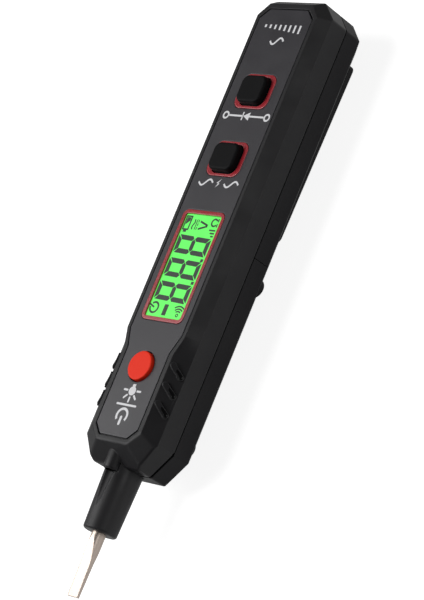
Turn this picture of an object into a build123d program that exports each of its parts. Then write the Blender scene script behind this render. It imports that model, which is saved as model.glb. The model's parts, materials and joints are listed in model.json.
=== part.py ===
from build123d import *
import os
from math import atan2, cos, degrees, radians, sin

os.makedirs("parts", exist_ok=True)

# Pen-shaped voltage tester, lying on its back. Millimetres. +X runs from the probe to the cap end,
# +Z out of the front panel, and z = 0 is the outer face of the pocket clip.

# Overall sizes
body_length = 127.1
body_width = 25.8
body_depth = 18.0
probe_reach = 32.9  # head end of the body to the tip of the blade
clip_drop = 3.0  # outer face of the clip below the back

# Walls, gaps and fits
wall = 1.6
seam_gap = 0.2
press_gap = 0.3  # round a pressed key or button
seat_gap = 0.1  # round a piece laid in a pocket
running_gap = 0.2  # clip barrel in its trough
lip_gap = 0.15
lip_thickness = 0.75
lip_height = 1.2
lip_root_height = 2.0

# Outer form
flank_drop = 3.2
rim_half = 10.5
head_rim_half = 8.9
head_straight = 29.1  # head end to where the narrow rim starts to widen
rim_flare = 4.9
back_chamfer = 3.6
corner_round = 1.2
cap_corner = (4.45, 4.45)  # along X and Y
head_corner = (6.6, 4.5)
cap_slope = (2.15, 3.0)  # along X and Z
head_slope = (4.7, 4.5)
cap_rim_corner = (3.3, 2.9)
head_rim_corner = (3.54, 3.5)
parting_depth = 9.0  # below the front panel
cover_length = 67.5  # cap end to the seam of the battery cover

# Front panel
panel_thickness = 0.6
panel_gap = 0.3
groove_half = 9.5
head_groove_half = 7.7
groove_cap_inset = 3.5  # cap end to the panel's groove
groove_head_inset = 5.9
groove_corner = 2.6

# Display
display_length = 28.1
display_half = 6.43
display_from_head = 37.74
display_corner = 0.8
bezel_width = 0.95
bezel_stand = 0.1
lens_overlap = 0.4
lens_thickness = 0.95
glass_margin = 0.8
glass_thickness = 1.2
stack_gap = 0.05
strip_width = 0.8

# Board and what it carries
board_thickness = 1.0
board_from_deck = 2.3  # deck underside to the board's top
board_half = 7.0
board_wide_half = 10.4
board_head_inset = 14.0
board_cap_inset = 8.0
switch_size = 5.0
switch_height = 1.0
plunger_radius = 1.0
plunger_gap = 0.08
plunger_sink = 0.5

# Keys and power button
key_from_cap = (27.0, 45.85)  # connect key, voltage key
key_length = 7.5
key_width = 8.4
key_height = 2.0
key_corner = 2.0
key_edge = 0.6
key_travel = 0.4
surround_length = 9.5
surround_width = 11.7
surround_corner = 2.4
surround_gap = 0.35
flange_width = 0.8
flange_thickness = 0.45
button_from_head = 24.6
button_radius = 3.85
button_height = 0.9
button_edge = 0.35

# Probe
probe_below_front = 8.0
sleeve_root_radius = 4.9
sleeve_end_radius = 4.35
sleeve_length = 16.35
sleeve_round = 0.7
collar_radius = 5.4
collar_length = 2.4
blade_radius = 1.8
blade_inner_reach = 1.5  # past the collar
blade_fit = 0.02
blade_scoop_start = 1.1  # from the end of the sleeve
blade_scoop_length = 6.4
blade_scoop_half = 0.62
blade_tip_half = 0.35

# Torch
torch_below_front = 3.6
torch_radius = 2.2
torch_stand = 1.4
lamp_radius = 1.5
lamp_gap = 0.1
lamp_inset = 0.6
lamp_rim_radius = 1.9
lamp_rim_length = 0.8
beam_length = 13.0
beam_radius = (2.1, 1.0)  # at the head and at the far end
beam_rise = 1.3

# Batteries (AAA cells)
cell_radius = 5.25
cell_length = 43.5
cell_round = 0.6
nub_radius = 1.9
nub_height = 1.0
cell_gap = 0.4
cell_floor_gap = 0.25
cell_from_seam = 4.6
cell_end_space = 2.6
tray_wall = 1.2
tray_half = 11.1
tray_floor_gap = 1.2
tray_rib_half = 0.55
tray_rib_drop = 2.7
contact_thickness = 0.4
contact_half = 3.6
contact_boss_radius = 1.6
spring_wire_radius = 0.3
spring_radius = 2.6
spring_turns = 2.5

# Pocket clip
clip_root_from_cap = 10.4
clip_length = 48.0
clip_root_half = 7.9
clip_free_half = 6.6
clip_thickness = 1.4
clip_corner = 1.5
barrel_radius = 2.0
barrel_half = 6.5
clip_neck = 1.7
clip_bump_radius = 1.6
clip_bump_gap = 0.3
trough_wall = 1.4

# Screws
screw_radius = 0.8
screw_head_radius = 1.5
screw_head_height = 1.1
boss_radius = 1.6
boss_foot_wall = 0.9  # round the pocket of a shell screw's head
boss_foot_floor = 0.9  # over that pocket
shell_screw_y = 9.0
head_screw_y = 8.0
head_screw_from_head = 11.0
seam_screw_from_seam = 5.0
board_screw_from_cap = 10.0
board_screw_y = 5.0
screw_cross_length = 2.0
screw_cross_width = 0.5
screw_cross_depth = 0.5

# Places worked out from the sizes
body_half = body_width / 2
cap_x = (body_length + probe_reach) / 2
head_x = cap_x - body_length
tip_x = head_x - probe_reach
seam_x = cap_x - cover_length
back_z = clip_drop
front_z = back_z + body_depth
ridge_z = front_z - flank_drop
parting_z = front_z - parting_depth
deck_top = front_z - panel_thickness
deck_under = front_z - wall
kink_head = head_x + head_straight
kink_main = kink_head + rim_flare
probe_z = front_z - probe_below_front
torch_z = front_z - torch_below_front
lamp_rim_x = head_x + wall + head_slope[0]
sleeve_bore_x = head_x + head_slope[0] + seat_gap
sleeve_end_x = head_x - sleeve_length
collar_x0 = sleeve_bore_x + seat_gap
collar_x1 = collar_x0 + collar_length
board_top = deck_under - board_from_deck
board_under = board_top - board_thickness
button_x = head_x + button_from_head
key_centres = [cap_x - inset for inset in key_from_cap]
display_x0 = head_x + display_from_head
display_x1 = display_x0 + display_length
cell_z = back_z + wall + cell_floor_gap + cell_radius
cell_y = cell_radius + cell_gap / 2
cell_x0 = seam_x + cell_from_seam
cell_x1 = cell_x0 + cell_length + nub_height
barrel_x = cap_x - clip_root_from_cap
barrel_z = back_z + seam_gap
screw_pocket_top = back_z + 2 * wall
boss_foot_radius = screw_head_radius + seat_gap + boss_foot_wall
shell_screws_at = [
    (head_x + head_screw_from_head, head_screw_y),
    (head_x + head_screw_from_head, -head_screw_y),
    (seam_x - seam_screw_from_seam, shell_screw_y),
    (seam_x - seam_screw_from_seam, -shell_screw_y),
]
board_screws_at = [(cap_x - board_screw_from_cap, side * board_screw_y) for side in (1, -1)]


def outward_plane(p, q, r, inset):
    """Plane through three points, facing away from the body's centre, moved inwards by inset."""
    p, q, r = Vector(*p), Vector(*q), Vector(*r)
    normal = (q - p).cross(r - p).normalized()
    centre = Vector((cap_x + head_x) / 2, 0, (front_z + back_z) / 2)
    if normal.dot(p - centre) < 0:
        normal = normal * -1
    return Plane(origin=p - normal * inset, z_dir=normal)


def trimming_planes(inset):
    """The slopes and corners that end the body, moved inwards by inset."""
    ends = (
        (cap_x, -1, cap_corner, cap_slope, cap_rim_corner, rim_half),
        (head_x, 1, head_corner, head_slope, head_rim_corner, head_rim_half),
    )
    planes = []
    for end, inwards, corner, slope, rim_corner, rim in ends:
        planes.append(outward_plane((end, 0, 0), (end, 1, 0), (end, 0, 1), inset))
        foot = front_z - slope[1]
        rim_end = end + inwards * slope[0]
        planes.append(outward_plane((end, 0, foot), (end, 1, foot), (rim_end, 0, front_z), inset))
        for side in (1, -1):
            corner_side = (end + inwards * corner[0], side * body_half)
            corner_end = (end, side * (body_half - corner[1]))
            planes.append(outward_plane((*corner_side, 0), (*corner_side, 1), (*corner_end, 0), inset))
            rim_side = (rim_end + inwards * rim_corner[0], side * rim, front_z)
            rim_front = (rim_end, side * (rim - rim_corner[1]), front_z)
            middle = ((corner_side[0] + corner_end[0]) / 2, (corner_side[1] + corner_end[1]) / 2)
            planes.append(outward_plane(rim_side, rim_front, (*middle, ridge_z), inset))
    return planes


def body_form(inset):
    """The whole body as one solid, with every face moved inwards by inset."""
    sections = (
        (head_x - wall, head_rim_half),
        (kink_head, head_rim_half),
        (kink_main, rim_half),
        (cap_x + wall, rim_half),
    )
    with BuildPart() as form:
        for x, rim in sections:
            with BuildSketch(Plane.YZ.offset(x)):
                with BuildLine():
                    Polyline(
                        (-rim, front_z),
                        (rim, front_z),
                        (body_half, ridge_z),
                        (body_half, back_z),
                        (-body_half, back_z),
                        (-body_half, ridge_z),
                        close=True,
                    )
                make_face()
                if inset:
                    offset(amount=-inset, kind=Kind.INTERSECTION, mode=Mode.REPLACE)
        loft(ruled=True)
        for plane in trimming_planes(inset):
            split(bisect_by=plane, keep=Keep.BOTTOM)
        chamfer(form.faces().sort_by(Axis.Z)[0].edges(), back_chamfer - inset * (2 - 2**0.5))
    return form.part


def panel_outline(gap):
    """The front panel's outline, smaller than its groove by gap."""
    x0 = head_x + groove_head_inset + gap
    x1 = cap_x - groove_cap_inset - gap
    narrow = head_groove_half - gap
    broad = groove_half - gap
    half = [
        (x0, narrow - groove_corner),
        (x0 + groove_corner, narrow),
        (kink_head, narrow),
        (kink_main, broad),
        (x1 - groove_corner, broad),
        (x1, broad - groove_corner),
    ]
    Polyline(*half, *[(x, -y) for x, y in reversed(half)], close=True)


def plate(x0, x1, half, z0, z1, radius, mode=Mode.ADD):
    """A flat rectangular plate with rounded corners, centred on the body's length."""
    with BuildSketch(Plane.XY.offset(z0)) as profile:
        with Locations(((x0 + x1) / 2, 0)):
            RectangleRounded(x1 - x0, 2 * half, radius)
    extrude(profile.sketch, amount=z1 - z0, mode=mode)


def disc(x, y, radius, z0, z1, mode=Mode.ADD):
    """A round peg or hole along Z."""
    with BuildSketch(Plane.XY.offset(z0)) as profile:
        with Locations((x, y)):
            Circle(radius)
    extrude(profile.sketch, amount=z1 - z0, mode=mode)


def block(x0, x1, y0, y1, z0, z1, mode=Mode.ADD):
    """A rectangular block between two corners."""
    with BuildSketch(Plane.XY.offset(z0)) as profile:
        with Locations(((x0 + x1) / 2, (y0 + y1) / 2)):
            Rectangle(x1 - x0, y1 - y0)
    extrude(profile.sketch, amount=z1 - z0, mode=mode)


def rod(x0, x1, y, z, radius, mode=Mode.ADD):
    """A round rod or bore along X."""
    with BuildSketch(Plane.YZ.offset(x0)) as profile:
        with Locations((y, z)):
            Circle(radius)
    extrude(profile.sketch, amount=x1 - x0, mode=mode)


outer_form = body_form(0)
inner_form = body_form(wall)

# Front shell: the top half of the body, with the panel's recess and the openings of the deck
flank_run = body_half - head_rim_half
flank_angle = degrees(atan2(flank_drop, flank_run))
rib_length = 5.2
rib_width = 1.5
rib_height = 0.45
rib_slant = 39
rib_places = (15.3, 20.2, 25.3)  # from the head end


with BuildPart() as front_shell:
    add(outer_form)
    fillet(front_shell.edges().filter_by(Axis.Z), corner_round)
    split(bisect_by=Plane.XY.offset(parting_z), keep=Keep.TOP)
    add(inner_form, mode=Mode.SUBTRACT)
    for x, y in shell_screws_at:
        disc(x, y, boss_radius, parting_z + lip_height + seam_gap, deck_under)
    for x, y in board_screws_at:
        disc(x, y, boss_radius, board_top, deck_under)
    with BuildSketch(Plane.XY.offset(deck_top)):
        with BuildLine():
            panel_outline(0)
        make_face()
    extrude(amount=panel_thickness, mode=Mode.SUBTRACT)
    plate(
        display_x0 - lens_overlap - seat_gap,
        display_x1 + lens_overlap + seat_gap,
        display_half + lens_overlap + seat_gap,
        deck_under,
        deck_top,
        display_corner,
        mode=Mode.SUBTRACT,
    )
    for x in key_centres:
        plate(
            x - key_length / 2 - press_gap,
            x + key_length / 2 + press_gap,
            key_width / 2 + press_gap,
            deck_under,
            deck_top,
            key_corner,
            mode=Mode.SUBTRACT,
        )
    disc(button_x, 0, button_radius + press_gap, deck_under, deck_top, mode=Mode.SUBTRACT)
    for x, y in shell_screws_at:
        disc(x, y, screw_radius, parting_z, deck_under - seat_gap, mode=Mode.SUBTRACT)
    for x, y in board_screws_at:
        disc(x, y, screw_radius, board_top, deck_under - seat_gap, mode=Mode.SUBTRACT)
    rod(head_x - wall, sleeve_bore_x, 0, probe_z, sleeve_root_radius, mode=Mode.SUBTRACT)
    rod(head_x - torch_stand, lamp_rim_x, 0, torch_z, torch_radius)
    rod(head_x - torch_stand, lamp_rim_x, 0, torch_z, lamp_radius + lamp_gap, mode=Mode.SUBTRACT)
    for side in (1, -1):
        for place in rib_places:
            middle = (head_x + place, side * (head_rim_half + flank_run / 2), front_z - flank_drop / 2)
            slope = (0, side * sin(radians(flank_angle)), cos(radians(flank_angle)))
            with BuildSketch(Plane(origin=middle, x_dir=(1, 0, 0), z_dir=slope)):
                SlotOverall(rib_length, rib_width, rotation=90 + side * rib_slant)
            extrude(amount=rib_height, both=True)
front_shell.part.label = "front_shell"
export_step(front_shell.part, "parts/front_shell.step")

# Back shell: the head half of the back, with a lip that locates it in the front shell
with BuildPart() as lip:
    add(body_form(wall + lip_gap))
    split(bisect_by=Plane.XY.offset(parting_z + lip_height), keep=Keep.BOTTOM)
    split(bisect_by=Plane.XY.offset(parting_z - seam_gap), keep=Keep.TOP)
with BuildPart() as lip_root:
    add(body_form(wall - lip_gap))
    split(bisect_by=Plane.XY.offset(parting_z - seam_gap), keep=Keep.BOTTOM)
    split(bisect_by=Plane.XY.offset(parting_z - lip_root_height), keep=Keep.TOP)

with BuildPart() as back_shell:
    add(outer_form)
    fillet(back_shell.edges().filter_by(Axis.Z), corner_round)
    add(inner_form, mode=Mode.SUBTRACT)
    split(bisect_by=Plane.XY.offset(parting_z - seam_gap), keep=Keep.BOTTOM)
    add(lip.part)
    add(lip_root.part)
    add(body_form(wall + lip_gap + lip_thickness), mode=Mode.SUBTRACT)
    split(bisect_by=Plane.YZ.offset(seam_x - seam_gap / 2), keep=Keep.BOTTOM)
    for x, y in shell_screws_at:
        disc(x, y, boss_radius, back_z + wall, parting_z + lip_height)
        disc(x, y, boss_foot_radius, back_z + wall / 2, screw_pocket_top + boss_foot_floor)
        disc(x, y, screw_head_radius + seat_gap, back_z, screw_pocket_top, mode=Mode.SUBTRACT)
        disc(x, y, screw_radius + seat_gap, back_z, parting_z + lip_height, mode=Mode.SUBTRACT)
    rod(head_x - wall, sleeve_bore_x, 0, probe_z, sleeve_root_radius, mode=Mode.SUBTRACT)
back_shell.part.label = "back_shell"
export_step(back_shell.part, "parts/back_shell.step")

# Front panel: the flat plate in the recess, open round the display, keys and power button
surround_top = front_z + bezel_stand
bezel_half = display_half + bezel_width
with BuildPart() as front_panel:
    with BuildSketch(Plane.XY.offset(deck_top)):
        with BuildLine():
            panel_outline(panel_gap)
        make_face()
    extrude(amount=panel_thickness)
    plate(
        display_x0 - bezel_width - seat_gap,
        display_x1 + bezel_width + seat_gap,
        bezel_half + seat_gap,
        deck_top,
        front_z,
        display_corner + bezel_width,
        mode=Mode.SUBTRACT,
    )
    for x in key_centres:
        plate(
            x - surround_length / 2 - seat_gap,
            x + surround_length / 2 + seat_gap,
            surround_width / 2 + seat_gap,
            deck_top,
            front_z,
            surround_corner,
            mode=Mode.SUBTRACT,
        )
    disc(button_x, 0, button_radius + press_gap, deck_top, front_z, mode=Mode.SUBTRACT)
front_panel.part.label = "front_panel"
export_step(front_panel.part, "parts/front_panel.step")

# Display: red bezel, clear lens, glass cell, backlight and the two rubber connector strips
with BuildPart() as display_bezel:
    plate(
        display_x0 - bezel_width,
        display_x1 + bezel_width,
        bezel_half,
        deck_top,
        surround_top,
        display_corner + bezel_width,
    )
    plate(
        display_x0,
        display_x1,
        display_half,
        deck_top,
        surround_top,
        display_corner,
        mode=Mode.SUBTRACT,
    )
display_bezel.part.label = "display_bezel"
export_step(display_bezel.part, "parts/display_bezel.step")

with BuildPart() as display_lens:
    plate(
        display_x0 - lens_overlap,
        display_x1 + lens_overlap,
        display_half + lens_overlap,
        deck_top - lens_thickness,
        deck_top,
        display_corner,
    )
display_lens.part.label = "display_lens"
export_step(display_lens.part, "parts/display_lens.step")

glass_top = deck_under - stack_gap
glass_under = glass_top - glass_thickness
with BuildPart() as display_glass:
    block(
        display_x0 - glass_margin,
        display_x1 + glass_margin,
        -display_half - glass_margin,
        display_half + glass_margin,
        glass_under,
        glass_top,
    )
display_glass.part.label = "display_glass"
export_step(display_glass.part, "parts/display_glass.step")

with BuildPart() as display_backlight:
    block(display_x0, display_x1, -display_half + seat_gap, display_half - seat_gap, board_top, glass_under)
display_backlight.part.label = "display_backlight"
export_step(display_backlight.part, "parts/display_backlight.step")

with BuildPart() as display_connectors:
    for side in (1, -1):
        inner = side * display_half
        outer = side * (display_half + strip_width)
        block(display_x0, display_x1, inner, outer, board_top, glass_under)
display_connectors.part.label = "display_connectors"
export_step(display_connectors.part, "parts/display_connectors.step")

# Circuit board, narrow beside the display and wide under the keys
board_x0 = head_x + board_head_inset
board_x1 = cap_x - board_cap_inset
board_step_x = max(display_x1 + glass_margin, seam_x - seam_screw_from_seam + boss_radius + seat_gap)
with BuildPart() as circuit_board:
    block(board_x0, board_step_x, -board_half, board_half, board_under, board_top)
    block(board_step_x, board_x1, -board_wide_half, board_wide_half, board_under, board_top)
    for x, y in board_screws_at:
        disc(x, y, screw_radius + seat_gap, board_under, board_top, mode=Mode.SUBTRACT)
circuit_board.part.label = "circuit_board"
export_step(circuit_board.part, "parts/circuit_board.step")

chip_size = 7.0
chip_height = 1.2
chip_x = head_x + 44.0
with BuildPart() as main_chip:
    block(
        chip_x - chip_size / 2,
        chip_x + chip_size / 2,
        -chip_size / 2,
        chip_size / 2,
        board_under - chip_height,
        board_under,
    )
main_chip.part.label = "main_chip"
export_step(main_chip.part, "parts/main_chip.step")

buzzer_radius = 4.5
buzzer_height = 3.0
buzzer_hole_radius = 0.8
buzzer_x = head_x + 30.0
with BuildPart() as buzzer:
    disc(buzzer_x, 0, buzzer_radius, board_under - buzzer_height, board_under)
    disc(
        buzzer_x,
        0,
        buzzer_hole_radius,
        board_under - buzzer_height,
        board_under - buzzer_height / 2,
        mode=Mode.SUBTRACT,
    )
buzzer.part.label = "buzzer"
export_step(buzzer.part, "parts/buzzer.step")

# Small parts on the underside of the board: length and width of each, and its place from the head
small_parts = (
    (2.0, 1.25, 20.0, 4.5),
    (2.0, 1.25, 20.0, -4.5),
    (3.2, 1.6, 38.0, 5.0),
    (3.2, 1.6, 38.0, -5.0),
    (2.9, 1.6, 50.5, 4.0),
    (2.9, 1.6, 50.5, 0.0),
    (2.9, 1.6, 50.5, -4.0),
)
small_part_height = 0.9
with BuildPart() as board_components:
    for length, width, place, y in small_parts:
        x = head_x + place
        low = board_under - small_part_height
        block(x - length / 2, x + length / 2, y - width / 2, y + width / 2, low, board_under)
board_components.part.label = "board_components"
export_step(board_components.part, "parts/board_components.step")

# Press switches: three cases on the board, each with a plunger that its key or button pushes
switch_centres = [button_x, *key_centres]
switch_top = board_top + switch_height
plunger_top = switch_top + plunger_sink
with BuildPart() as press_switches:
    for x in switch_centres:
        half = switch_size / 2
        block(x - half, x + half, -half, half, board_top, switch_top)
        disc(
            x,
            0,
            plunger_radius + plunger_gap,
            switch_top - plunger_sink - key_travel,
            switch_top,
            mode=Mode.SUBTRACT,
        )
press_switches.part.label = "press_switches"
export_step(press_switches.part, "parts/press_switches.step")

with BuildPart() as power_plunger:
    disc(button_x, 0, plunger_radius, switch_top - plunger_sink, plunger_top)
power_plunger.part.label = "power_plunger"
export_step(power_plunger.part, "parts/power_plunger.step")

with BuildPart() as connect_plunger:
    disc(key_centres[0], 0, plunger_radius, switch_top - plunger_sink, plunger_top)
connect_plunger.part.label = "connect_plunger"
export_step(connect_plunger.part, "parts/connect_plunger.step")

with BuildPart() as voltage_plunger:
    disc(key_centres[1], 0, plunger_radius, switch_top - plunger_sink, plunger_top)
voltage_plunger.part.label = "voltage_plunger"
export_step(voltage_plunger.part, "parts/voltage_plunger.step")

# Power button: a round cap with a flange under the deck and a face that meets its plunger
flange_top = deck_under - press_gap
button_top = front_z + button_height
with BuildPart() as power_button:
    disc(button_x, 0, button_radius, plunger_top, button_top)
    disc(button_x, 0, button_radius + flange_width, flange_top - flange_thickness, flange_top)
    fillet(power_button.edges().sort_by(Axis.Z)[-1], button_edge)
power_button.part.label = "power_button"
export_step(power_button.part, "parts/power_button.step")


def build_key(x):
    """A soft key: a rounded square cap on a flange that stops it under the deck."""
    with BuildPart() as key:
        x0 = x - key_length / 2
        x1 = x + key_length / 2
        plate(x0, x1, key_width / 2, plunger_top, front_z + key_height, key_corner)
        fillet(key.faces().sort_by(Axis.Z)[-1].edges(), key_edge)
        plate(
            x0 - flange_width,
            x1 + flange_width,
            key_width / 2 + flange_width,
            flange_top - flange_thickness,
            flange_top,
            key_corner + flange_width,
        )
    return key.part


with BuildPart() as connect_key:
    add(build_key(key_centres[0]))
connect_key.part.label = "connect_key"
export_step(connect_key.part, "parts/connect_key.step")

with BuildPart() as voltage_key:
    add(build_key(key_centres[1]))
voltage_key.part.label = "voltage_key"
export_step(voltage_key.part, "parts/voltage_key.step")

# Red surrounds of the two keys
with BuildPart() as key_surrounds:
    for x in key_centres:
        plate(
            x - surround_length / 2,
            x + surround_length / 2,
            surround_width / 2,
            deck_top,
            surround_top,
            surround_corner,
        )
    for x in key_centres:
        plate(
            x - key_length / 2 - surround_gap,
            x + key_length / 2 + surround_gap,
            key_width / 2 + surround_gap,
            deck_top,
            surround_top,
            key_corner + surround_gap,
            mode=Mode.SUBTRACT,
        )
key_surrounds.part.label = "key_surrounds"
export_step(key_surrounds.part, "parts/key_surrounds.step")

# Torch: a round lamp in the barrel above the probe, with two leads to the board
lamp_tip_x = head_x - torch_stand + lamp_inset
with BuildPart() as torch_lamp:
    rod(lamp_tip_x + lamp_radius, lamp_rim_x, 0, torch_z, lamp_radius)
    with Locations((lamp_tip_x + lamp_radius, 0, torch_z)):
        Sphere(lamp_radius)
    rod(lamp_rim_x, lamp_rim_x + lamp_rim_length, 0, torch_z, lamp_rim_radius)
torch_lamp.part.label = "torch_lamp"
export_step(torch_lamp.part, "parts/torch_lamp.step")

lead_radius = 0.25
lead_y = 0.9
lead_on_board = 2.0
with BuildPart() as torch_leads:
    for side in (1, -1):
        lead_start = lamp_rim_x + lamp_rim_length
        rod(lead_start, board_x0 + lead_on_board, side * lead_y, board_top + lead_radius, lead_radius)
torch_leads.part.label = "torch_leads"
export_step(torch_leads.part, "parts/torch_leads.step")

# Probe: an insulating sleeve held by a collar inside the head, and a round shaft ground to a flat blade
probe_plane = Plane(origin=(0, 0, probe_z), x_dir=(1, 0, 0), z_dir=(0, -1, 0))
probe_axis = Axis((0, 0, probe_z), (1, 0, 0))
sleeve_radius = sleeve_root_radius - seat_gap / 2
with BuildPart() as probe_sleeve:
    with BuildSketch(probe_plane):
        with BuildLine():
            Polyline(
                (sleeve_end_x, 0),
                (sleeve_end_x, sleeve_end_radius),
                (head_x, sleeve_radius),
                (collar_x0, sleeve_radius),
                (collar_x0, collar_radius),
                (collar_x1, collar_radius),
                (collar_x1, 0),
                close=True,
            )
        make_face()
    revolve(axis=probe_axis)
    fillet(probe_sleeve.edges().filter_by(GeomType.CIRCLE).sort_by(Axis.X)[0], sleeve_round)
    rod(sleeve_end_x, collar_x1, 0, probe_z, blade_radius + blade_fit, mode=Mode.SUBTRACT)
    seat = torch_radius + seat_gap
    rod(head_x - torch_stand - seat_gap, collar_x1, 0, torch_z, seat, mode=Mode.SUBTRACT)
    for x, radius in ((head_x, beam_radius[0]), (head_x - beam_length, beam_radius[1])):
        with BuildSketch(Plane.YZ.offset(x)):
            with Locations((0, torch_z + beam_rise)):
                Circle(radius)
    loft(mode=Mode.SUBTRACT)
probe_sleeve.part.label = "probe_sleeve"
export_step(probe_sleeve.part, "parts/probe_sleeve.step")

blade_end_x = collar_x1 + blade_inner_reach
scoop_x = sleeve_end_x - blade_scoop_start
with BuildPart() as probe_blade:
    rod(tip_x, blade_end_x, 0, probe_z, blade_radius)
    for side in (1, -1):
        with BuildSketch(probe_plane):
            with BuildLine():
                Polyline(
                    (scoop_x, side * blade_radius),
                    (scoop_x - blade_scoop_length, side * blade_scoop_half),
                    (tip_x, side * blade_tip_half),
                    (tip_x, side * 2 * blade_radius),
                    (scoop_x, side * 2 * blade_radius),
                    close=True,
                )
            make_face()
        extrude(amount=2 * blade_radius, both=True, mode=Mode.SUBTRACT)
probe_blade.part.label = "probe_blade"
export_step(probe_blade.part, "parts/probe_blade.step")

# Safety resistor and the leaf that joins it to the probe, under the head end of the board
resistor_radius = 1.2
resistor_length = 6.5
resistor_x0 = blade_end_x + 6.0
resistor_z = board_under - resistor_radius
leaf_thickness = 0.3
leaf_half = 1.2
with BuildPart() as safety_resistor:
    rod(resistor_x0, resistor_x0 + resistor_length, 0, resistor_z, resistor_radius)
safety_resistor.part.label = "safety_resistor"
export_step(safety_resistor.part, "parts/safety_resistor.step")

with BuildPart() as probe_contact:
    block(
        blade_end_x,
        blade_end_x + leaf_thickness,
        -leaf_half,
        leaf_half,
        probe_z - blade_radius,
        resistor_z + leaf_half,
    )
    block(
        blade_end_x + leaf_thickness,
        resistor_x0,
        -leaf_half / 2,
        leaf_half / 2,
        resistor_z - leaf_thickness / 2,
        resistor_z + leaf_thickness / 2,
    )
probe_contact.part.label = "probe_contact"
export_step(probe_contact.part, "parts/probe_contact.step")

# Battery tray: end walls, a roof under the board and a rib between the two cells
tray_x0 = cell_x0 - cell_end_space
tray_x1 = cell_x1 + cell_end_space
cell_top = cell_z + cell_radius
roof_under = cell_top + seat_gap
tray_low = back_z + wall + tray_floor_gap
with BuildPart() as battery_tray:
    block(tray_x0 - tray_wall, tray_x1 + tray_wall, -tray_half, tray_half, roof_under, board_under)
    block(tray_x0 - tray_wall, tray_x0, -tray_half, tray_half, tray_low, roof_under)
    block(tray_x1, tray_x1 + tray_wall, -tray_half, tray_half, tray_low, roof_under)
    block(cell_x0, cell_x1, -tray_rib_half, tray_rib_half, cell_top - tray_rib_drop, roof_under)
    low_edges = battery_tray.edges().filter_by(Axis.X).group_by(Axis.Z)[0]
    chamfer(low_edges, back_chamfer)
battery_tray.part.label = "battery_tray"
export_step(battery_tray.part, "parts/battery_tray.step")


def build_cell(side):
    """A round cell with its raised terminal towards +X on side 1 and towards -X on side -1."""
    base = cell_x0 if side == 1 else cell_x1
    axis_plane = Plane(origin=(base, side * cell_y, cell_z), z_dir=(side, 0, 0))
    with BuildPart() as cell:
        with BuildSketch(axis_plane):
            Circle(cell_radius)
        extrude(amount=cell_length)
        fillet(cell.edges().filter_by(GeomType.CIRCLE), cell_round)
        with BuildSketch(axis_plane.offset(cell_length)):
            Circle(nub_radius)
        extrude(amount=nub_height)
    return cell.part


with BuildPart() as battery_left:
    add(build_cell(1))
battery_left.part.label = "battery_left"
export_step(battery_left.part, "parts/battery_left.step")

with BuildPart() as battery_right:
    add(build_cell(-1))
battery_right.part.label = "battery_right"
export_step(battery_right.part, "parts/battery_right.step")

# Contacts: a plate behind each cell end, bossed where it meets a raised terminal
plate_ends = (
    (tray_x0, 1, 1, False),
    (tray_x1, -1, 1, True),
    (tray_x0, 1, -1, True),
    (tray_x1, -1, -1, False),
)
with BuildPart() as battery_contacts:
    for x, inwards, side, bossed in plate_ends:
        face_x = x + inwards * contact_thickness
        y = side * cell_y
        low, high = sorted((x, face_x))
        block(low, high, y - contact_half, y + contact_half, cell_z - contact_half, cell_z + contact_half)
        if bossed:
            low, high = sorted((x, x + inwards * cell_end_space))
            rod(low, high, y, cell_z, contact_boss_radius)
battery_contacts.part.label = "battery_contacts"
export_step(battery_contacts.part, "parts/battery_contacts.step")

spring_height = cell_end_space - contact_thickness - 2 * spring_wire_radius
spring_ends = ((tray_x0, 1, 1), (tray_x1, -1, -1))
with BuildPart() as battery_springs:
    for x, inwards, side in spring_ends:
        start_x = x + inwards * (contact_thickness + spring_wire_radius)
        path = Helix(
            pitch=spring_height / spring_turns,
            height=spring_height,
            radius=spring_radius,
            center=(start_x, side * cell_y, cell_z),
            direction=(inwards, 0, 0),
        )
        with BuildSketch(Plane(origin=path @ 0, z_dir=path % 0)):
            Circle(spring_wire_radius)
        sweep(path=path, is_frenet=True)
battery_springs.part.label = "battery_springs"
export_step(battery_springs.part, "parts/battery_springs.step")

# Battery cover: the cap half of the back, with a trough for the barrel of the clip
trough_radius = barrel_radius + running_gap
trough_x0 = barrel_x - trough_radius - trough_wall
trough_x1 = barrel_x + trough_radius + trough_wall
trough_half = barrel_half + trough_wall
with BuildPart() as battery_cover:
    add(outer_form)
    fillet(battery_cover.edges().filter_by(Axis.Z), corner_round)
    add(inner_form, mode=Mode.SUBTRACT)
    split(bisect_by=Plane.XY.offset(parting_z - seam_gap), keep=Keep.BOTTOM)
    split(bisect_by=Plane.YZ.offset(seam_x + seam_gap / 2), keep=Keep.TOP)
    block(
        trough_x0,
        trough_x1,
        -trough_half,
        trough_half,
        back_z + wall / 2,
        barrel_z + trough_radius + trough_wall,
    )
    with BuildSketch(Plane.XZ.offset(-barrel_half - running_gap)):
        with Locations((barrel_x, barrel_z)):
            Circle(trough_radius)
    extrude(amount=2 * (barrel_half + running_gap), mode=Mode.SUBTRACT)
battery_cover.part.label = "battery_cover"
export_step(battery_cover.part, "parts/battery_cover.step")

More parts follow.
